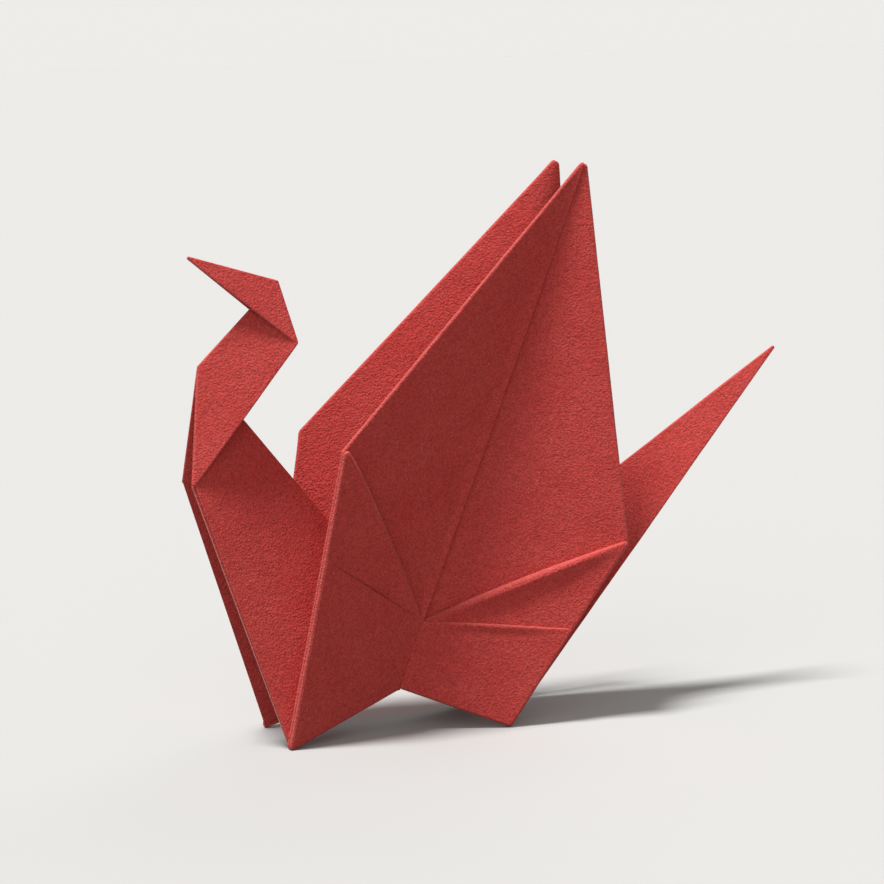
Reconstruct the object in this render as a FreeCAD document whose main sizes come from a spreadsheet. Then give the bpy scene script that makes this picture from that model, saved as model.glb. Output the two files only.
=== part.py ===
import FreeCAD, Part
import math
import os

Vector = FreeCAD.Vector

# Origami crane folded from one square of heavy paper, standing on its four folded feet.
# +X runs from head to tail, the left and right halves mirror across the XZ plane, +Z is up.
# Each pressed stack of layers is one plate, each fold is a round hem along its edge.

doc = FreeCAD.newDocument("OrigamiCrane")

sizes = [
    ("paperThickness", 0.28),
    ("hemRadius", 0.34),
    ("creaseRadius", 0.18),
    ("seamClearance", 0.5),
    # wing tip, shared by the front and rear half of each wing
    ("wingTipReach", 23.3),
    ("wingTipSpread", 5.3),
    ("wingTipHeight", 77.0),
    # outer corner where the wing turns into the narrowed body
    ("frontCornerReach", 13.7),
    ("frontCornerSpread", 10.7),
    ("frontCornerHeight", 40.6),
    ("rearCornerReach", 26.3),
    ("rearCornerSpread", 10.1),
    ("rearCornerHeight", 24.8),
    # feet, the lowest corners of the body
    ("frontFootReach", 21.7),
    ("frontFootSpread", 6.5),
    ("rearFootReach", 9.7),
    ("rearFootSpread", 7.0),
    # heights along the seam between the front and rear panel of each side
    ("flapSeamHeight", 14.7),
    ("archSeamHeight", 6.3),
    ("hingeSeamHeight", 7.4),
    # bare strip along the hem between the two folded edges of the flap
    ("frontStripLength", 15.0),
    ("rearStripLength", 14.2),
    # neck, bent forward at the chest, with the head folded down from the crown
    ("chestReach", 32.6),
    ("chestSpread", 3.0),
    ("chestHeight", 36.1),
    ("napeReach", 30.5),
    ("napeHeight", 51.8),
    ("jawReach", 17.3),
    ("jawSpread", 2.2),
    ("jawHeight", 54.5),
    ("crownHeight", 62.7),
    ("beakReach", 31.4),
    ("beakHeight", 66.6),
    # tail
    ("tailReach", 53.8),
    ("tailHeight", 49.4),
    # ridge inside the body, where the neck, the tail and the centre of the square meet
    ("neckRidgeHeight", 15.6),
    ("tailRidgeReach", 0.5),
    ("tailRidgeHeight", 15.0),
    ("humpReach", 5.0),
    ("humpHeight", 32.0),
]

sheet = doc.addObject("Spreadsheet::Sheet", "Sizes")
for row, (alias, value) in enumerate(sizes, start=1):
    sheet.set("A%d" % row, alias)
    sheet.set("B%d" % row, "%g" % value)
    sheet.setAlias("B%d" % row, alias)
doc.recompute()


def size(alias):
    return float(sheet.get(alias))


thickness = size("paperThickness")


# Helpers for points, planes and the pieces of the sheet

def planeNormal(first, second, third):
    return (second - first).cross(third - first).normalize()


def onCentrePlane(first, second, third, start, height):
    """Point on the XZ plane where the plane of three points reaches a height."""
    normal = planeNormal(first, second, third)
    along = Vector(normal.z, 0, -normal.x)
    return start + along * ((height - start.z) / along.z)


def onLine(start, end, height):
    return start + (end - start) * ((height - start.z) / (end.z - start.z))


def between(start, end, distance):
    return start + (end - start).normalize() * distance


def plate(name, corners, normal, inner, outer):
    """Flat stack of layers, from inner to outer, both counted in layers from its plane."""
    outline = doc.addObject("Part::Polygon", name + "Outline")
    outline.Nodes = [corner + normal * (inner * thickness) for corner in corners]
    outline.Close = True
    layer = doc.addObject("Part::Extrusion", name)
    layer.Base = outline
    layer.DirMode = "Custom"
    layer.Dir = normal
    layer.Solid = True
    layer.setExpression("LengthFwd", "Sizes.paperThickness * %g" % (outer - inner))
    return layer


def hem(name, start, end, radiusAlias):
    """Round fold along an edge."""
    roll = doc.addObject("Part::Cylinder", name)
    roll.setExpression("Radius", "Sizes." + radiusAlias)
    roll.Height = start.distanceToPoint(end)
    turn = FreeCAD.Rotation(Vector(0, 0, 1), end - start)
    roll.Placement = FreeCAD.Placement(start, turn)
    return roll


def knuckle(name, centre, radiusAlias):
    """Round corner where hems meet, a little fuller than they are."""
    ball = doc.addObject("Part::Sphere", name)
    ball.setExpression("Radius", "Sizes." + radiusAlias + " * 1.08")
    ball.Placement.Base = centre
    return ball


# Corner points of the near half, which has negative Y

footHeight = size("hemRadius") * 1.08
wingTip = Vector(size("wingTipReach"), -size("wingTipSpread"), size("wingTipHeight"))
corner = {
    "Front": Vector(-size("frontCornerReach"), -size("frontCornerSpread"), size("frontCornerHeight")),
    "Rear": Vector(size("rearCornerReach"), -size("rearCornerSpread"), size("rearCornerHeight")),
}
foot = {
    "Front": Vector(-size("frontFootReach"), -size("frontFootSpread"), footHeight),
    "Rear": Vector(size("rearFootReach"), -size("rearFootSpread"), footHeight),
}
stripLength = {"Front": size("frontStripLength"), "Rear": size("rearStripLength")}
outward = {
    "Front": planeNormal(wingTip, corner["Front"], foot["Front"]),
    "Rear": planeNormal(wingTip, foot["Rear"], corner["Rear"]),
}
seamLine = outward["Front"].cross(outward["Rear"])
seamEnd = wingTip - seamLine * (wingTip.z / seamLine.z)
flapSeam = onLine(wingTip, seamEnd, size("flapSeamHeight"))
archSeam = onLine(wingTip, seamEnd, size("archSeamHeight"))
hingeSeam = onLine(wingTip, seamEnd, size("hingeSeamHeight"))

chest = Vector(-size("chestReach"), -size("chestSpread"), size("chestHeight"))
nape = Vector(-size("napeReach"), 0, size("napeHeight"))
jaw = Vector(-size("jawReach"), -size("jawSpread"), size("jawHeight"))
crown = onCentrePlane(chest, nape, jaw, nape, size("crownHeight"))
beak = Vector(-size("beakReach"), 0, size("beakHeight"))
tailTip = Vector(size("tailReach"), 0, size("tailHeight"))
ridge = {
    "Front": onCentrePlane(foot["Front"], chest, nape, nape, size("neckRidgeHeight")),
    "Rear": Vector(size("tailRidgeReach"), 0, size("tailRidgeHeight")),
}
hump = Vector(size("humpReach"), 0, size("humpHeight"))

# Body and wing panels of the near half

nearPieces = []
centrePieces = []

for end in ("Front", "Rear"):
    up = outward[end]
    hip = corner[end]
    toe = foot[end]
    strip = between(hip, toe, stripLength[end])

    nearPieces.append(plate("Panel" + end, [wingTip, hip, toe, archSeam], up, -1, 1))
    nearPieces.append(hem("WingHem" + end, wingTip, hip, "hemRadius"))
    nearPieces.append(hem("BodyHem" + end, hip, toe, "hemRadius"))
    nearPieces.append(hem("ArchHem" + end, toe, archSeam, "hemRadius"))
    nearPieces.append(knuckle("HipKnuckle" + end, hip, "hemRadius"))
    nearPieces.append(knuckle("ToeKnuckle" + end, toe, "hemRadius"))

    # the corner of the panel, folded over so that its edge lies along the seam
    topSeam = between(flapSeam, hip, size("seamClearance"))
    lowSeam = between(archSeam, toe, size("seamClearance"))
    nearPieces.append(plate("Flap" + end, [hip, topSeam, lowSeam, toe], up, 0.9, 3))
    lift = up * (2 * thickness)
    nearPieces.append(hem("FlapTop" + end, hip + lift, topSeam + lift, "hemRadius"))
    nearPieces.append(hem("FlapSide" + end, hip + lift, toe + lift, "hemRadius"))
    nearPieces.append(hem("FlapFoot" + end, toe + lift, lowSeam + lift, "hemRadius"))
    nearPieces.append(knuckle("FlapHip" + end, hip + lift, "hemRadius"))
    nearPieces.append(knuckle("FlapToe" + end, toe + lift, "hemRadius"))

    # the inner layer of that corner, now outermost, with its own folded upper edge
    nearPieces.append(plate("Facing" + end, [strip, topSeam, lowSeam, toe], up, 2.9, 4))
    lift = up * (3.5 * thickness)
    nearPieces.append(hem("FacingTop" + end, strip + lift, topSeam + lift, "creaseRadius"))
    nearPieces.append(hem("FacingSide" + end, strip + lift, toe + lift, "creaseRadius"))
    nearPieces.append(knuckle("FacingStrip" + end, strip + lift, "creaseRadius"))

    # inner layers, which run from the hem up to the hidden ridge and the hump
    root = ridge[end]
    inner = planeNormal(strip, toe, root)
    nearPieces.append(plate("Lining" + end, [strip, toe, root], inner, -0.5, 0.5))
    inner = planeNormal(hump, strip, root)
    nearPieces.append(plate("Gusset" + end, [hump, strip, root], inner, -0.5, 0.5))
    inner = planeNormal(hump, strip, hingeSeam)
    nearPieces.append(plate("Hump" + end, [hump, strip, hingeSeam], inner, -0.5, 0.5))
    nearPieces.append(hem("HumpFold" + end, hump, strip, "creaseRadius"))
    nearPieces.append(hem("HingeFold" + end, strip, hingeSeam, "creaseRadius"))
    nearPieces.append(hem("GussetFold" + end, strip, root, "creaseRadius"))
    nearPieces.append(hem("ReverseFold" + end, toe, root, "hemRadius"))
    centrePieces.append(hem("Ridge" + end, root, hump, "creaseRadius"))
    centrePieces.append(knuckle("RidgeKnuckle" + end, root, "hemRadius"))

nearPieces.append(hem("Seam", wingTip, archSeam, "hemRadius"))
nearPieces.append(knuckle("TipKnuckle", wingTip, "hemRadius"))
nearPieces.append(knuckle("ArchKnuckle", archSeam, "hemRadius"))
nearPieces.append(hem("HumpValley", hump, hingeSeam, "creaseRadius"))
centrePieces.append(knuckle("HumpKnuckle", hump, "hemRadius"))

# Neck, head and tail, one double layer on each side of their ridge

neckNormal = planeNormal(foot["Front"], chest, nape)
nearPieces.append(plate("Neck", [foot["Front"], ridge["Front"], nape, chest], neckNormal, -1, 1))
nearPieces.append(hem("NeckFront", foot["Front"], chest, "hemRadius"))
nearPieces.append(hem("ChestFold", chest, nape, "hemRadius"))
nearPieces.append(knuckle("ChestKnuckle", chest, "hemRadius"))
centrePieces.append(hem("NeckRidge", ridge["Front"], nape, "hemRadius"))
centrePieces.append(knuckle("NapeKnuckle", nape, "hemRadius"))

throatNormal = planeNormal(chest, nape, jaw)
nearPieces.append(plate("Throat", [chest, nape, crown, jaw], throatNormal, -1, 1))
nearPieces.append(hem("ThroatEdge", chest, jaw, "hemRadius"))
nearPieces.append(hem("CrownFold", crown, jaw, "hemRadius"))
nearPieces.append(knuckle("JawKnuckle", jaw, "hemRadius"))
centrePieces.append(hem("ThroatRidge", nape, crown, "hemRadius"))
centrePieces.append(knuckle("CrownKnuckle", crown, "hemRadius"))

headNormal = planeNormal(crown, jaw, beak)
nearPieces.append(plate("Head", [crown, jaw, beak], headNormal, -1, 1))
nearPieces.append(hem("HeadEdge", jaw, beak, "hemRadius"))
centrePieces.append(hem("HeadRidge", crown, beak, "hemRadius"))
centrePieces.append(knuckle("BeakKnuckle", beak, "hemRadius"))

tailNormal = planeNormal(foot["Rear"], ridge["Rear"], tailTip)
nearPieces.append(plate("Tail", [foot["Rear"], ridge["Rear"], tailTip], tailNormal, -1, 1))
nearPieces.append(hem("TailEdge", foot["Rear"], tailTip, "hemRadius"))
centrePieces.append(hem("TailRidge", ridge["Rear"], tailTip, "hemRadius"))
centrePieces.append(knuckle("TailKnuckle", tailTip, "hemRadius"))

# The near half, its mirror image and the ridges between them are one sheet

doc.recompute()
nearHalf = doc.addObject("Part::Feature", "NearHalf")
nearHalf.Shape = nearPieces[0].Shape.multiFuse([piece.Shape for piece in nearPieces[1:]])
farHalf = doc.addObject("Part::Mirroring", "FarHalf")
farHalf.Source = nearHalf
farHalf.Normal = Vector(0, 1, 0)
doc.recompute()

# The origin goes to the middle of the footprint, on the surface that the feet stand on

folded = doc.addObject("Part::Feature", "FoldedCrane")
folded.Label = "folded_crane"
folded.Shape = nearHalf.Shape.multiFuse([farHalf.Shape] + [piece.Shape for piece in centrePieces])
box = folded.Shape.BoundBox
folded.Placement.Base = Vector(-box.Center.x, -box.Center.y, -box.ZMin)
doc.recompute()

for item in doc.Objects:
    if "Invalid" in item.State or "Error" in item.State:
        raise RuntimeError("failed: " + item.Name)
solid = folded.Shape
if solid.isNull() or not solid.isValid() or len(solid.Solids) != 1:
    raise RuntimeError("the crane is not one valid solid: %d" % len(solid.Solids))

os.makedirs("parts", exist_ok=True)
solid.exportStep("parts/" + folded.Label + ".step")
print("volume %.1f cubic mm, shift %.2f %.2f" % (solid.Volume, -box.Center.x, -box.Center.y))
print("size %.1f x %.1f x %.1f mm" % (box.XLength, box.YLength, box.ZLength))
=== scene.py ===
import math

import bpy
import numpy as np
from mathutils import Matrix, Vector, geometry, noise


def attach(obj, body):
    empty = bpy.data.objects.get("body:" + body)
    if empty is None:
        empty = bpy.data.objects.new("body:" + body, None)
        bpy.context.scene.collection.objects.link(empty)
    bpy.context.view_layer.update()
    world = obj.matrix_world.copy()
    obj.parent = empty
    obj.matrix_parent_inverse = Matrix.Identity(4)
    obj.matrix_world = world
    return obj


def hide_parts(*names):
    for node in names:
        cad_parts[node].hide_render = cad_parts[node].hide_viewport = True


# Origami crane folded from one square of heavy, rough, red paper.
# Everything is worked out in millimetres in the part's own frame, and becomes metres when a mesh is made.

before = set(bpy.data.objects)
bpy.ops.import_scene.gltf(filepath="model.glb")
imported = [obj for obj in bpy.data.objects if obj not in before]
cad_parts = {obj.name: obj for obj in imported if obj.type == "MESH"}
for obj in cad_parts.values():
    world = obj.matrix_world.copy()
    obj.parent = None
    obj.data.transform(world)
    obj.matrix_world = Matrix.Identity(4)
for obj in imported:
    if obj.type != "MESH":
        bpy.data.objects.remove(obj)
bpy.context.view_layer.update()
millimetre = 0.001


# The sheet

paper = {
    "layer": 0.28,         # thickness of one layer
    "foldFullness": 1.25,   # how far a fold stands out, in half thicknesses of what it wraps
    "cutReach": 0.03,      # how far a cut edge stands out between its two tiny bevels
    "cutSquareness": 0.22,  # 1 is a round edge, 0 a square one
    "cornerRound": 0.14,   # radius of a folded corner, seen flat
    "sharpestCut": 0.3,    # the most that rounding takes off a sharp corner
    "supportInset": 0.09,  # rows of vertices this far inside the outline keep the panels flat
    "turnStep": 0.22,      # radians between the samples of a rounded corner
    "edgeStep": 0.9,       # spacing of vertices along an edge
    "gridStep": 1.0,       # spacing of vertices inside a panel
    "gridClearance": 0.14,  # and how far they stay from the row inside the outline
    "gridThinning": 0.55,  # a grid point nearer to an extra row than this share of a step is left out
    "mergeDistance": 1e-6,  # for the triangulation
    "rimRows": 7,
    "rimEndPaleness": 0.35,    # paleness where a rim meets its panel: on folds worn dye and a painted highlight, on cuts the pale core
    "waveHeight": 0.16,    # slow waviness of the whole sheet
    "waveLength": 17.0,
    "rippleHeight": 0.05,  # what handling leaves in the panels
    "rippleLength": 3.2,
    "waveFullFrom": 12.0,  # height where the waviness is full, fading below it so that the feet stand
    "rippleFullFrom": 6.0,
    "halfShift": 7.0,      # steps through the noise, so that each half and the ripple go their own way
    "rippleShift": 3.1,
    "rollShape": 0.8,      # below 1, a soft roll rises quickly at its ends
}

# From which layer to which each piece goes, counted outward from the plane of its fold points
layers = {
    "panel": (-1, 1),
    "flap": (0.9, 3),
    "hidden": (-0.5, 0.5),
    "lining": (-1, 0),
    "cover": (0.1, 1.1),
    "tailCover": (0.05, 1.05),
}

foldPoints = {
    "wingTip": (12.7, 5.3, 77.0),
    "frontHip": (-24.3, 10.7, 40.6),
    "rearHip": (15.7, 10.1, 24.8),
    "frontToe": (-32.3, 6.5, 0.37),
    "rearToe": (-0.9, 7.0, 0.37),
    "chest": (-43.2, 3.0, 36.1),
    "nape": (-41.1, 0.0, 51.8),
    "jaw": (-27.9, 2.2, 54.5),
    "beak": (-42.0, 0.0, 66.6),
    "tailTip": (43.2, 0.0, 49.4),
    "tailRoot": (-10.1, 0.0, 15.0),
    "hump": (-5.6, 0.0, 32.0),
}

seamHeights = {"flap": 14.7, "hinge": 7.4, "arch": 6.3}
centreHeights = {"neckRoot": 15.6, "crown": 62.7}
stripLengths = {"front": 15.0, "rear": 14.2}


def pointOf(name):
    x, y, z = foldPoints[name]
    return Vector((x, -y, z))  # the near half has negative Y


def planeNormal(first, second, third):
    return (second - first).cross(third - first).normalized()


def nearSide(normal):
    return -normal if normal.y > 0 else normal


def onCentrePlane(first, second, third, start, height):
    normal = planeNormal(first, second, third)
    along = Vector((normal.z, 0, -normal.x))
    return start + along * ((height - start.z) / along.z)


def onLine(start, end, height):
    return start + (end - start) * ((height - start.z) / (end.z - start.z))


def between(start, end, distance):
    return start + (end - start).normalized() * distance


tip, hump = pointOf("wingTip"), pointOf("hump")
hip = {"front": pointOf("frontHip"), "rear": pointOf("rearHip")}
toe = {"front": pointOf("frontToe"), "rear": pointOf("rearToe")}
chest, nape, jaw, beak = (pointOf(name) for name in ("chest", "nape", "jaw", "beak"))
tailTip = pointOf("tailTip")
outward = {
    "front": planeNormal(tip, hip["front"], toe["front"]),
    "rear": planeNormal(tip, toe["rear"], hip["rear"]),
}
seamWay = outward["front"].cross(outward["rear"]).normalized()
if seamWay.z > 0:
    seamWay = -seamWay
seamPoint = {name: onLine(tip, tip + seamWay, height) for name, height in seamHeights.items()}
crown = onCentrePlane(chest, nape, jaw, nape, centreHeights["crown"])
ridgeRoot = {
    "front": onCentrePlane(toe["front"], chest, nape, nape, centreHeights["neckRoot"]),
    "rear": pointOf("tailRoot"),
}
stripPoint = {end: between(hip[end], toe[end], stripLengths[end]) for end in ("front", "rear")}


# A piece of the sheet is drawn flat, in u and v, given a thickness with a rim all round, and put in place

def flatFrame(corners, up):
    across = (corners[1] - corners[0]).normalized()
    along = up.cross(across).normalized()
    flat = [((c - corners[0]).dot(across), (c - corners[0]).dot(along)) for c in corners]

    def place(u, v, height):
        return corners[0] + across * u + along * v + up * height

    return flat, place


# The two panels of a wing lie in one flat frame, bent into a soft valley along their seam
def seamFrame(bend):
    way = {}
    for end in ("front", "rear"):
        sideways = outward[end].cross(seamWay).normalized()
        way[end] = sideways if sideways.dot(hip[end] - tip) > 0 else -sideways

    def flat(point, end):
        sign = -1 if end == "front" else 1
        return sign * (point - tip).dot(way[end]), (tip - point).dot(seamWay)

    def place(u, v, height):
        if abs(u) >= bend:
            end = "front" if u < 0 else "rear"
            return tip - seamWay * v + way[end] * abs(u) + outward[end] * height
        share = (u + bend) / (2 * bend)
        spot = way["front"] * (bend * (1 - share) ** 2) + way["rear"] * (bend * share ** 2)
        up = (outward["front"] * (1 - share) + outward["rear"] * share).normalized()
        return tip - seamWay * v + spot + up * height

    return flat, place


# Walks round an outline with rounded corners. Each sample has its place, its outward direction, the kinds of
# the edge before it and of its own edge, and how far it has turned from the one to the other.
def roundedOutline(flat, kinds, radii):
    count = len(flat)
    points = [Vector(p) for p in flat]
    ways = [(points[(i + 1) % count] - points[i]).normalized() for i in range(count)]
    normals = [Vector((w.y, -w.x)) for w in ways]
    starts, ends, arcs = [None] * count, [None] * count, []
    for i in range(count):
        before, here = ways[i - 1], ways[i]
        turn = math.atan2(before.x * here.y - before.y * here.x, before.dot(here))
        slope = abs(math.tan(turn / 2))
        radius = radii[i] or min(paper["cornerRound"], paper["sharpestCut"] / slope)
        side = radius * (1 if turn > 0 else -1)
        starts[i] = points[i] + here * radius * slope
        ends[i - 1] = points[i] - before * radius * slope
        centre = starts[i] - normals[i] * side
        steps = max(2, int(abs(turn) / paper["turnStep"]))
        arc = []
        for k in range(1, steps):
            angle = turn * k / steps
            last = normals[i - 1]
            normal = Vector((last.x * math.cos(angle) - last.y * math.sin(angle),
                             last.x * math.sin(angle) + last.y * math.cos(angle)))
            arc.append((centre + normal * side, normal, k / steps))
        arcs.append(arc)
    samples = []
    for i in range(count):
        samples += [(spot, normal, kinds[i - 1], kinds[i], share) for spot, normal, share in arcs[i]]
        steps = max(1, round((ends[i] - starts[i]).length / paper["edgeStep"]))
        for k in range(steps + 1):
            samples.append((starts[i].lerp(ends[i], k / steps), normals[i], kinds[i], kinds[i], 0.0))
    return samples


# Points of a triangular grid that lie well inside a closed loop, and the extra ones that do
def insidePoints(loop, step, extra):
    loop = np.array(loop)
    low, high = loop.min(0), loop.max(0)
    rows = []
    for row, y in enumerate(np.arange(low[1], high[1], step * math.sqrt(3) / 2)):
        xs = np.arange(low[0] + (row % 2) * step / 2, high[0], step)
        rows.append(np.stack([xs, np.full(len(xs), y)], 1))
    grid = np.concatenate(rows)
    extra = np.array(extra).reshape(-1, 2)
    if len(extra):
        away = np.min(np.linalg.norm(grid[:, None] - extra[None], axis=2), axis=1)
        grid = np.concatenate([extra, grid[away > step * paper["gridThinning"]]])
    inside = np.zeros(len(grid), bool)
    nearest = np.full(len(grid), np.inf)
    for a, b in zip(loop, np.roll(loop, -1, 0)):
        crosses = (a[1] > grid[:, 1]) != (b[1] > grid[:, 1])
        with np.errstate(divide="ignore", invalid="ignore"):
            at = (b[0] - a[0]) * (grid[:, 1] - a[1]) / (b[1] - a[1]) + a[0]
        inside ^= crosses & (grid[:, 0] < at)
        run = b - a
        share = np.clip(((grid - a) @ run) / max(run @ run, 1e-12), 0, 1)
        nearest = np.minimum(nearest, np.linalg.norm(grid - (a + share[:, None] * run), axis=1))
    return [tuple(p) for p in grid[inside & (nearest > paper["gridClearance"])]]


class Sheet:
    def __init__(self):
        self.places, self.faces, self.folds, self.cuts = [], [], [], []

    def add(self, place, fold=0.0, cut=0.0):
        self.places.append(place)
        self.folds.append(fold)
        self.cuts.append(cut)
        return len(self.places) - 1


# One piece of the sheet, from its inner to its outer layer, with a fold or a cut at each edge
def addPiece(sheet, flat, place, kinds, inner, outer, lift=None, extra=(), radii=None):
    low, high = inner * paper["layer"], outer * paper["layer"]
    samples = roundedOutline(flat, kinds, radii or [None] * len(flat))
    rows = paper["rimRows"]
    loops = [[] for _ in range(rows + 2)]
    insetLoop = []

    def topOf(u, v):
        return high + (lift(u, v) if lift else 0.0)

    for spot, side, kindBefore, kindHere, share in samples:
        half = (topOf(spot.x, spot.y) - low) / 2
        rims = {"fold": (half * paper["foldFullness"], 1.0),
                "cut": (paper["cutReach"], paper["cutSquareness"])}
        (reachBefore, powerBefore), (reachHere, powerHere) = rims[kindBefore], rims[kindHere]
        reach = reachBefore + (reachHere - reachBefore) * share
        power = powerBefore + (powerHere - powerBefore) * share
        cutShare = (kindBefore == "cut") * (1 - share) + (kindHere == "cut") * share
        inset = spot - side * paper["supportInset"]
        insetLoop.append((inset.x, inset.y))
        loops[0].append(sheet.add(place(inset.x, inset.y, low)))
        for k in range(rows):
            angle = math.pi * (k / (rows - 1) - 0.5)
            at = spot + side * (reach * abs(math.cos(angle)) ** power)
            height = low + half + half * math.copysign(abs(math.sin(angle)) ** power, angle)
            # rims are painted paler, most at their outermost row: on folds partly worn dye and partly a
            # painted highlight, on cuts the pale core
            rimPaleness = math.sqrt(math.cos(angle)) if 0 < k < rows - 1 else paper["rimEndPaleness"]
            loops[k + 1].append(sheet.add(place(at.x, at.y, height), rimPaleness * (1 - cutShare), rimPaleness * cutShare))
        loops[rows + 1].append(sheet.add(place(inset.x, inset.y, topOf(inset.x, inset.y))))
    count = len(samples)
    for lower, upper in zip(loops, loops[1:]):
        for i in range(count):
            j = (i + 1) % count
            sheet.faces.append((lower[i], lower[j], upper[j], upper[i]))

    points = insetLoop + insidePoints(insetLoop, paper["gridStep"], extra)
    edges = [(i, (i + 1) % count) for i in range(count)]
    spots, _, triangles, origins, _, _ = geometry.delaunay_2d_cdt(
        [Vector(p) for p in points], edges, [], 1, paper["mergeDistance"])
    for loop, outerSide in ((loops[0], False), (loops[rows + 1], True)):
        index = []
        for spot, origin in zip(spots, origins):
            if origin and origin[0] < count:
                index.append(loop[origin[0]])
            else:
                index.append(sheet.add(place(spot.x, spot.y, topOf(spot.x, spot.y) if outerSide else low)))
        for triangle in triangles:
            corners = [index[k] for k in triangle]
            if len(set(corners)) == 3:
                sheet.faces.append(tuple(corners if outerSide else reversed(corners)))


def plainPiece(sheet, corners, up, kinds, inner, outer):
    if (corners[1] - corners[0]).cross(corners[2] - corners[1]).dot(up) < 0:
        corners = [corners[0]] + corners[:0:-1]
        kinds = kinds[::-1]
    flat, place = flatFrame(corners, up)
    addPiece(sheet, flat, place, kinds, inner, outer)


def smoothStep(value):
    value = min(1.0, max(0.0, value))
    return value * value * (3 - 2 * value)


# A soft roll beside a folded edge, pinned flat at both ends of it
def hemRoll(start, end, height, width, fullAt):
    way = end - start
    length = way.length
    way = way / length
    bend = math.log(0.5) / math.log(fullAt)

    def roll(u, v):
        offset = Vector((u, v)) - start
        along = min(1.0, max(0.0, offset.dot(way) / length))
        away = offset.dot(Vector((-way.y, way.x)))
        rise = math.sin(math.pi * along ** bend) ** paper["rollShape"]
        return height * rise * math.exp(-((away / width) ** 2))

    return roll


# Rows of vertices beside a folded edge, so that its roll comes out round
def rollRows(start, end, distances, step):
    way = (end - start).normalized()
    side = Vector((-way.y, way.x))
    return [tuple(start + way * (k * step) + side * (sign * away))
            for away in distances for sign in (-1, 1) for k in range(int((end - start).length / step) + 1)]


# Wings and body

wing = {
    "seamBend": 1.3,       # half width of the soft valley between the two panels
    "seamRows": (-1.6, -1.3, -1.0, -0.7, -0.45, -0.2, -0.05, 0.0, 0.02, 0.05, 0.1, 0.2, 0.45, 0.7, 1.0, 1.3),
    "seamStep": 0.8,
    "slitWidth": 0.07,     # the line between the two panels
    "slitDepth": 0.2,
    "slitFlat": 0.5,       # share of its width where it is at its deepest
    "tipLip": 0.10,        # how far the front panel's edge stands proud of the rear one, at the tip
    "seamLip": 0.50,       # and lower down
    "lipWidth": 1.7,
    "lipGrowth": 30.0,
    "seamClearance": 0.5,  # how far the flaps stay from the seam
    "tipRadius": 0.42,     # the tip is blunt, because many layers meet there
    "tipShift": 0.15,      # makes up for some of the height that its rounding takes off
}

# A soft roll is highest at the share fullAt of its length, counted from the outer corner
flapRoll = {
    "front": {"height": 0.60, "width": 0.45, "fullAt": 0.33},
    "rear": {"height": 0.80, "width": 0.9, "fullAt": 0.55},
}
facingRoll = {
    "front": {"height": 0.02, "width": 0.6, "fullAt": 0.5},
    "rear": {"height": 0.30, "width": 0.55, "fullAt": 0.62},
}
facingLayers = {"front": (2.6, 3.15), "rear": (2.9, 4)}
# The front facing has pressed a soft line into the flap
facingCrease = {"depth": 0.34, "width": 0.36, "fullAt": 0.5, "rows": (0.1, 0.3, 0.55), "step": 0.6}
rollDistances = (0.25, 0.45, 0.7, 1.0, 1.4, 1.9)


# The two outer layers meet at the seam, and the front one lies over the rear one
def seamLift(u, v):
    if u <= 0:
        lip = wing["tipLip"] + (wing["seamLip"] - wing["tipLip"]) * smoothStep(-v / wing["lipGrowth"])
        return lip * smoothStep(1 + u / wing["lipWidth"])
    return -wing["slitDepth"] * (1 - smoothStep(u / wing["slitWidth"] - wing["slitFlat"]))


def mainPanels(sheet):
    flatOf, place = seamFrame(wing["seamBend"])
    flat = [flatOf(tip, "front"), flatOf(hip["front"], "front"), flatOf(toe["front"], "front"),
            flatOf(seamPoint["arch"], "front"), flatOf(toe["rear"], "rear"), flatOf(hip["rear"], "rear")]
    flat[0] = (flat[0][0], flat[0][1] + wing["tipShift"])
    rows = [(u, -k * wing["seamStep"]) for u in wing["seamRows"]
            for k in range(1, int(-flat[3][1] / wing["seamStep"]))]
    radii = [wing["tipRadius"]] + [None] * 5
    addPiece(sheet, flat, place, ["fold"] * 6, *layers["panel"], seamLift, rows, radii)


# The corner of the panel, folded over so that its edge lies along the seam, and the facing on top of it
def sideFlap(sheet, end):
    topSeam = between(seamPoint["flap"], hip[end], wing["seamClearance"])
    lowSeam = between(seamPoint["arch"], toe[end], wing["seamClearance"])
    pieces = ((hip[end], flapRoll[end], layers["flap"]), (stripPoint[end], facingRoll[end], facingLayers[end]))
    for corner, roll, (inner, outer) in pieces:
        corners = [corner, toe[end], lowSeam, topSeam]
        if end == "rear":
            corners = [corner, topSeam, lowSeam, toe[end]]
        flat, place = flatFrame(corners, outward[end])
        start, finish = Vector(flat[0]), Vector(flat[3 if end == "front" else 1])
        lift = hemRoll(start, finish, roll["height"], roll["width"], roll["fullAt"])
        rows = rollRows(start, finish, rollDistances, paper["edgeStep"])
        if end == "front" and corner == hip[end]:
            lift, rows = withCrease(lift, rows, start, flat)
        addPiece(sheet, flat, place, ["fold"] * 4, inner, outer, lift, rows)


def withCrease(lift, rows, start, flat):
    edge = (Vector(flat[1]) - start).normalized()
    first, last = start + edge * stripLengths["front"], Vector(flat[3])
    press = hemRoll(first, last, -facingCrease["depth"], facingCrease["width"], facingCrease["fullAt"])

    def creased(u, v):
        return lift(u, v) + press(u, v)

    return creased, rows + rollRows(first, last, facingCrease["rows"], facingCrease["step"])


def innerLayers(sheet, end):
    root = ridgeRoot[end]
    for corners in ([stripPoint[end], toe[end], root], [hump, stripPoint[end], root],
                    [hump, stripPoint[end], seamPoint["hinge"]]):
        plainPiece(sheet, corners, nearSide(planeNormal(*corners)), ["fold"] * 3, *layers["hidden"])


# Neck, head and tail

neck = {
    "outerStepBack": 0.5,  # the outer layer ends this far behind the inner one at the chest
    "footStepBack": 0.15,
    "throatStepBack": 0.35,
    "napeStepBack": 0.1,
}


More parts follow.
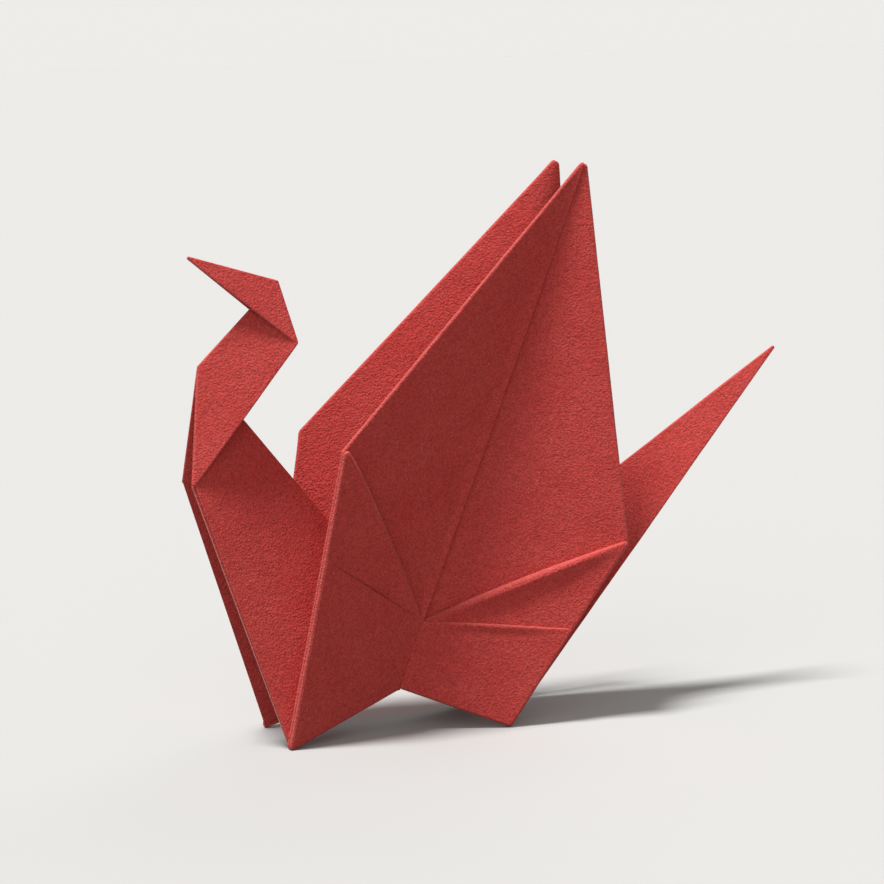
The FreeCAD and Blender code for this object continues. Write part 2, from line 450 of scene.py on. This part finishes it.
def neckAndHead(sheet):
    root = ridgeRoot["front"]
    up = nearSide(planeNormal(toe["front"], chest, nape))
    outerChest = between(chest, (root + nape) / 2, neck["outerStepBack"])
    outerToe = between(toe["front"], root, neck["footStepBack"])
    plainPiece(sheet, [outerToe, root, nape, outerChest], up, ["fold"] * 4, *layers["cover"])
    plainPiece(sheet, [toe["front"], root, nape, chest], up, ["cut", "fold", "fold", "cut"],
               *layers["lining"])

    up = nearSide(planeNormal(chest, nape, jaw))
    outerThroat = between(chest, crown, neck["throatStepBack"])
    outerNape = between(nape, crown, neck["napeStepBack"])
    plainPiece(sheet, [outerThroat, outerNape, crown, jaw], up, ["fold"] * 4, *layers["cover"])
    plainPiece(sheet, [chest, nape, crown, jaw], up, ["cut", "fold", "fold", "cut"],
               *layers["lining"])

    up = nearSide(planeNormal(crown, jaw, beak))
    plainPiece(sheet, [crown, jaw, beak], up, ["fold"] * 3, *layers["cover"])
    plainPiece(sheet, [crown, jaw, beak], up, ["fold", "cut", "fold"], *layers["lining"])


def tail(sheet):
    corners = [toe["rear"], ridgeRoot["rear"], tailTip]
    up = nearSide(planeNormal(*corners))
    plainPiece(sheet, corners, up, ["fold"] * 3, *layers["tailCover"])
    plainPiece(sheet, corners, up, ["fold", "fold", "cut"], *layers["lining"])


# The whole sheet waves a little, and both halves wave in their own way
def waves(places):
    for spot in places:
        far = paper["halfShift"] if spot.y > 0 else 0.0
        slow = noise.noise((spot.x / paper["waveLength"] + far, spot.z / paper["waveLength"], far))
        ripple = noise.noise((spot.x / paper["rippleLength"], far + paper["rippleShift"],
                              spot.z / paper["rippleLength"]))
        spot.y += slow * paper["waveHeight"] * smoothStep(spot.z / paper["waveFullFrom"])
        spot.y += ripple * paper["rippleHeight"] * smoothStep(spot.z / paper["rippleFullFrom"])


def makeSheet():
    near = Sheet()
    mainPanels(near)
    for end in ("front", "rear"):
        sideFlap(near, end)
        innerLayers(near, end)
    neckAndHead(near)
    tail(near)
    count = len(near.places)
    places = near.places + [Vector((p.x, -p.y, p.z)) for p in near.places]
    faces = near.faces + [tuple(i + count for i in reversed(face)) for face in near.faces]
    waves(places)
    mesh = bpy.data.meshes.new("folded_sheet")
    mesh.from_pydata([p * millimetre for p in places], [], faces)
    # fold rims carry worn dye and a painted highlight; cut rims carry the pale core
    for name, values in (("foldWearAndHighlight", near.folds * 2), ("cutEdge", near.cuts * 2)):
        attribute = mesh.attributes.new(name, "FLOAT", "POINT")
        attribute.data.foreach_set("value", np.array(values, np.float32))
    mesh.shade_smooth()
    mesh.validate()
    made = bpy.data.objects.new("folded_sheet", mesh)
    bpy.context.scene.collection.objects.link(made)
    print("folded sheet:", len(places), "vertices,", len(faces), "faces")
    return made


# Finish

finish = {
    "red": "#CE4641",
    "deepRed": "#8C2220",
    "lightRed": "#DA5D56",
    # pale folds: dye rubbed off, and a highlight painted along each fold's crest
    "wornAndHighlitEdge": "#EC958B",
    "cutCore": "#E9A79C",
    "speck": "#E3A79E",
    "grain": 0.27,         # millimetres, half the spacing of the paper's grain
    "fibre": 0.75,         # the same for the felted clumps
    "mottle": 7.0,         # and for the uneven dye
    "grainDepth": 0.24,
    "fibreDepth": 0.13,
    "roughness": 0.86,
    "gloss": 0.3,
}

# Where each pattern starts and stops to show in the colour, and the most that it changes it
marks = {
    "mottle": (0.35, 0.65, 0.3),
    "grain": (0.62, 0.32, 0.55),
    "fibre": (0.55, 0.30, 0.25),
    # paler folds: worn dye and partly a painted highlight
    "rimPaleness": (0.4, 1.0, 0.14),
    "cut": (0.3, 1.0, 0.85),
}


def linear(hexColour):
    parts = [int(hexColour[i:i + 2], 16) / 255 for i in (1, 3, 5)]
    return [c / 12.92 if c <= 0.04045 else ((c + 0.055) / 1.055) ** 2.4 for c in parts] + [1.0]


def addNode(tree, kind, links=None, inputs=None, **settings):
    node = tree.nodes.new(kind)
    for name, value in settings.items():
        setattr(node, name, value)
    for name, value in (inputs or {}).items():
        node.inputs[name].default_value = value
    for name, source in (links or {}).items():
        tree.links.new(source, node.inputs[name])
    return node


# Uncoated craft paper, dyed through: matt, with a felted grain that catches grazing light, paler along the
# folds, where the dye has rubbed off and a highlight is painted on, and paler where a cut shows the core
def roughPaper():
    material = bpy.data.materials.new("roughCraftPaper")
    material.use_nodes = True
    tree = material.node_tree
    tree.nodes.clear()
    place = addNode(tree, "ShaderNodeTexCoord").outputs["Object"]

    def noiseOf(sizeMm, detail, roughness, distortion=0.0):
        return addNode(tree, "ShaderNodeTexNoise", {"Vector": place},
                       {"Scale": 1 / (sizeMm * millimetre), "Detail": detail, "Roughness": roughness,
                        "Distortion": distortion}).outputs["Fac"]

    def shareOf(source, mark):
        low, high, most = marks[mark]
        return addNode(tree, "ShaderNodeMapRange", {"Value": source},
                       {"From Min": low, "From Max": high, "To Min": 0.0, "To Max": most}).outputs["Result"]

    def mixed(factor, first, name):
        node = addNode(tree, "ShaderNodeMix", {"Factor": factor, "A": first}, data_type="RGBA")
        node.inputs["B"].default_value = linear(finish[name])
        return node.outputs["Result"]

    grain = noiseOf(finish["grain"], detail=2.0, roughness=0.6)
    fibre = noiseOf(finish["fibre"], detail=3.0, roughness=0.55, distortion=0.6)
    mottle = noiseOf(finish["mottle"], detail=3.0, roughness=0.6)
    red = addNode(tree, "ShaderNodeRGB").outputs[0]
    red.default_value = linear(finish["red"])
    body = mixed(shareOf(mottle, "mottle"), red, "lightRed")
    body = mixed(shareOf(grain, "grain"), body, "deepRed")
    body = mixed(shareOf(fibre, "fibre"), body, "deepRed")
    # folds are painted paler, partly for worn dye and partly as a painted highlight
    rimPaleness = addNode(tree, "ShaderNodeAttribute", attribute_name="foldWearAndHighlight").outputs["Fac"]
    cut = addNode(tree, "ShaderNodeAttribute", attribute_name="cutEdge").outputs["Fac"]
    body = mixed(shareOf(rimPaleness, "rimPaleness"), body, "wornAndHighlitEdge")
    body = mixed(shareOf(cut, "cut"), body, "cutCore")

    fine = addNode(tree, "ShaderNodeBump", {"Height": grain},
                   {"Strength": 1.0, "Distance": finish["grainDepth"] * millimetre})
    coarse = addNode(tree, "ShaderNodeBump", {"Height": fibre, "Normal": fine.outputs["Normal"]},
                     {"Strength": 1.0, "Distance": finish["fibreDepth"] * millimetre})
    shader = addNode(tree, "ShaderNodeBsdfPrincipled",
                     {"Base Color": body, "Normal": coarse.outputs["Normal"]},
                     {"Roughness": finish["roughness"], "Specular IOR Level": finish["gloss"],
                      "Sheen Weight": 0.1, "Sheen Roughness": 0.5,
                      "Sheen Tint": linear(finish["wornAndHighlitEdge"])})
    addNode(tree, "ShaderNodeOutputMaterial", {"Surface": shader.outputs["BSDF"]})
    return material


# Loose fibres that lie on the paper, about seven to a square centimetre, in millimetres

fibres = {
    "perSquareMm": 0.07,
    "length": 0.40,
    "width": 0.07,
    "height": 0.035,
    "smallest": 0.45,  # share of the full size
    "patch": 1.5,      # how far their tone takes to change
    "seed": 5,
}


# Bits of the same uncoated paper: matt, in tones from dyed to nearly undyed
def looseFibre():
    material = bpy.data.materials.new("loosePaperFibre")
    material.use_nodes = True
    tree = material.node_tree
    tree.nodes.clear()
    place = addNode(tree, "ShaderNodeTexCoord").outputs["Object"]
    patches = addNode(tree, "ShaderNodeTexNoise", {"Vector": place},
                      {"Scale": 1 / (fibres["patch"] * millimetre)}).outputs["Fac"]
    colour = addNode(tree, "ShaderNodeMix", {"Factor": patches}, data_type="RGBA")
    colour.inputs["A"].default_value = linear(finish["lightRed"])
    colour.inputs["B"].default_value = linear(finish["speck"])
    shader = addNode(tree, "ShaderNodeBsdfPrincipled", {"Base Color": colour.outputs["Result"]},
                     {"Roughness": finish["roughness"], "Specular IOR Level": finish["gloss"]})
    addNode(tree, "ShaderNodeOutputMaterial", {"Surface": shader.outputs["BSDF"]})
    return material


def fibreTree(material):
    tree = bpy.data.node_groups.new("fibresOnPaper", "GeometryNodeTree")
    tree.is_modifier = True
    tree.interface.new_socket("Paper", in_out="INPUT", socket_type="NodeSocketGeometry")
    sockets = {}
    for name, kind in (("Density", "NodeSocketFloat"), ("Seed", "NodeSocketInt"),
                       ("Full Size", "NodeSocketVector"), ("Smallest", "NodeSocketFloat")):
        sockets[name] = tree.interface.new_socket(name, in_out="INPUT", socket_type=kind).identifier
    tree.interface.new_socket("Fibres", in_out="OUTPUT", socket_type="NodeSocketGeometry")
    given = addNode(tree, "NodeGroupInput").outputs
    spread = addNode(tree, "GeometryNodeDistributePointsOnFaces",
                     {"Mesh": given["Paper"], "Density": given["Density"], "Seed": given["Seed"]}).outputs
    fibre = addNode(tree, "GeometryNodeMeshIcoSphere", inputs={"Radius": 0.5, "Subdivisions": 1})
    turn = addNode(tree, "FunctionNodeRandomValue", {"Seed": given["Seed"]}, data_type="FLOAT_VECTOR")
    turn.inputs["Min"].default_value = (0, 0, 0)
    turn.inputs["Max"].default_value = (0, 0, 2 * math.pi)
    turned = addNode(tree, "FunctionNodeRotateRotation",
                     {"Rotation": spread["Rotation"], "Rotate By": turn.outputs["Value"]},
                     rotation_space="LOCAL")
    share = addNode(tree, "FunctionNodeRandomValue", {"Min": given["Smallest"]}, data_type="FLOAT")
    size = addNode(tree, "ShaderNodeVectorMath",
                   {0: given["Full Size"], "Scale": next(o for o in share.outputs if o.enabled)},
                   operation="SCALE")
    placed = addNode(tree, "GeometryNodeInstanceOnPoints",
                     {"Points": spread["Points"], "Instance": fibre.outputs["Mesh"],
                      "Rotation": turned.outputs["Rotation"], "Scale": size.outputs[0]})
    real = addNode(tree, "GeometryNodeRealizeInstances", {"Geometry": placed.outputs["Instances"]})
    painted = addNode(tree, "GeometryNodeSetMaterial", {"Geometry": real.outputs["Geometry"]},
                      {"Material": material})
    addNode(tree, "NodeGroupOutput", {"Fibres": painted.outputs["Geometry"]})
    return tree, sockets


def makeFibres(sheet):
    made = bpy.data.objects.new("paper_fibres", sheet.data.copy())
    bpy.context.scene.collection.objects.link(made)
    tree, sockets = fibreTree(looseFibre())
    modifier = made.modifiers.new("fibres", "NODES")
    modifier.node_group = tree
    size = [fibres[name] * millimetre for name in ("length", "width", "height")]
    modifier[sockets["Density"]] = fibres["perSquareMm"] / millimetre ** 2
    modifier[sockets["Seed"]] = fibres["seed"]
    modifier[sockets["Full Size"]] = size
    modifier[sockets["Smallest"]] = fibres["smallest"]
    evaluated = made.evaluated_get(bpy.context.evaluated_depsgraph_get())
    mesh = bpy.data.meshes.new_from_object(evaluated)
    made.modifiers.remove(modifier)
    made.data = mesh
    print("loose fibres:", len(mesh.polygons), "faces")
    return made


# Studio

studio = {
    "floorSeen": "#B3B2B0",    # the floor's colour for rays that see it
    "floorBounce": "#7A7673",  # what the floor throws back at the object
    "floorSize": 40.0,
    "backdrop": "#EDECE9",
    "worldColour": "#FFFFFF",
    "worldStrength": 0.26,
    # each lamp's angle says how many degrees wide it looks
    "keyLight": {"from": (-0.26, -0.07, 0.96), "angle": 12.0, "power": 4.6},    # nearly overhead
    "fillLight": {"from": (-0.44, -0.82, 0.35), "angle": 70.0, "power": 0.80},  # low, front left
    "backLight": {"from": (0.62, 0.70, 0.34), "angle": 60.0, "power": 1.00},    # low, rear right
}

view = {
    "target": (-7.2, 0.0, 39.27),  # millimetres
    "distance": 376.3,
    "yaw": 0.31389,
    "pitch": 0.14398,
    "roll": -0.03129,
    "focalPixels": 2726.9,
    "framePixels": 884,
    "sensor": 36.0,
}


# Rays that see the floor or the backdrop, directly, in a gloss or through glass
def seenRays(tree):
    ray = addNode(tree, "ShaderNodeLightPath").outputs
    mirrored = addNode(tree, "ShaderNodeMath", {0: ray["Is Camera Ray"], 1: ray["Is Glossy Ray"]},
                       operation="MAXIMUM").outputs[0]
    return addNode(tree, "ShaderNodeMath", {0: mirrored, 1: ray["Is Transmission Ray"]},
                   operation="MAXIMUM").outputs[0]


def paleFloor():
    material = bpy.data.materials.new("paleMattFloor")
    material.use_nodes = True
    tree = material.node_tree
    tree.nodes.clear()
    colour = addNode(tree, "ShaderNodeMix", {"Factor": seenRays(tree)}, data_type="RGBA")
    colour.inputs["A"].default_value = linear(studio["floorBounce"])
    colour.inputs["B"].default_value = linear(studio["floorSeen"])
    shader = addNode(tree, "ShaderNodeBsdfDiffuse", {"Color": colour.outputs["Result"]})
    addNode(tree, "ShaderNodeOutputMaterial", {"Surface": shader.outputs["BSDF"]})
    return material


def makeStudio():
    half = studio["floorSize"] / 2
    mesh = bpy.data.meshes.new("floor")
    mesh.from_pydata([(-half, -half, 0), (half, -half, 0), (half, half, 0), (-half, half, 0)], [],
                     [(0, 1, 2, 3)])
    floor = bpy.data.objects.new("floor", mesh)
    mesh.materials.append(paleFloor())
    bpy.context.scene.collection.objects.link(floor)
    world = bpy.data.worlds.new("studio")
    bpy.context.scene.world = world
    world.use_nodes = True
    tree = world.node_tree
    tree.nodes.clear()
    light = addNode(tree, "ShaderNodeBackground",
                    inputs={"Color": linear(studio["worldColour"]), "Strength": studio["worldStrength"]})
    seen = addNode(tree, "ShaderNodeBackground",
                   inputs={"Color": linear(studio["backdrop"]), "Strength": 1.0})
    mix = addNode(tree, "ShaderNodeMixShader",
                  {0: seenRays(tree), 1: light.outputs[0], 2: seen.outputs[0]})
    addNode(tree, "ShaderNodeOutputWorld", {"Surface": mix.outputs[0]})
    for name in ("keyLight", "fillLight", "backLight"):
        data = bpy.data.lights.new(name, "SUN")
        data.energy = studio[name]["power"]
        data.angle = math.radians(studio[name]["angle"])
        lamp = bpy.data.objects.new(name, data)
        lamp.rotation_euler = Vector(studio[name]["from"]).to_track_quat("Z", "Y").to_euler()
        bpy.context.scene.collection.objects.link(lamp)


def makeCamera():
    yaw, pitch, roll = view["yaw"], view["pitch"], view["roll"]
    look = Vector((math.sin(yaw) * math.cos(pitch), math.cos(yaw) * math.cos(pitch), -math.sin(pitch)))
    right = Vector((math.cos(yaw), -math.sin(yaw), 0))
    up = right.cross(look)
    rolledRight = right * math.cos(roll) + up * math.sin(roll)
    rolledUp = up * math.cos(roll) - right * math.sin(roll)
    place = (Vector(view["target"]) - look * view["distance"]) * millimetre
    data = bpy.data.cameras.new("camera")
    data.sensor_width = view["sensor"]
    data.lens = view["sensor"] * view["focalPixels"] / view["framePixels"]
    data.clip_start = 0.01
    camera = bpy.data.objects.new("camera", data)
    bpy.context.scene.collection.objects.link(camera)
    turn = Matrix((rolledRight, rolledUp, -look)).transposed()
    camera.matrix_world = Matrix.Translation(place) @ turn.to_4x4()
    bpy.context.scene.camera = camera


makeCamera()
makeStudio()
print("camera and studio are in place")
crane = makeSheet()
crane.data.materials.append(roughPaper())
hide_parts("folded_crane")
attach(crane, "root")
fibre = makeFibres(crane)
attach(fibre, "root")
print("paper finished")

bpy.context.scene.view_settings.view_transform = "Standard"
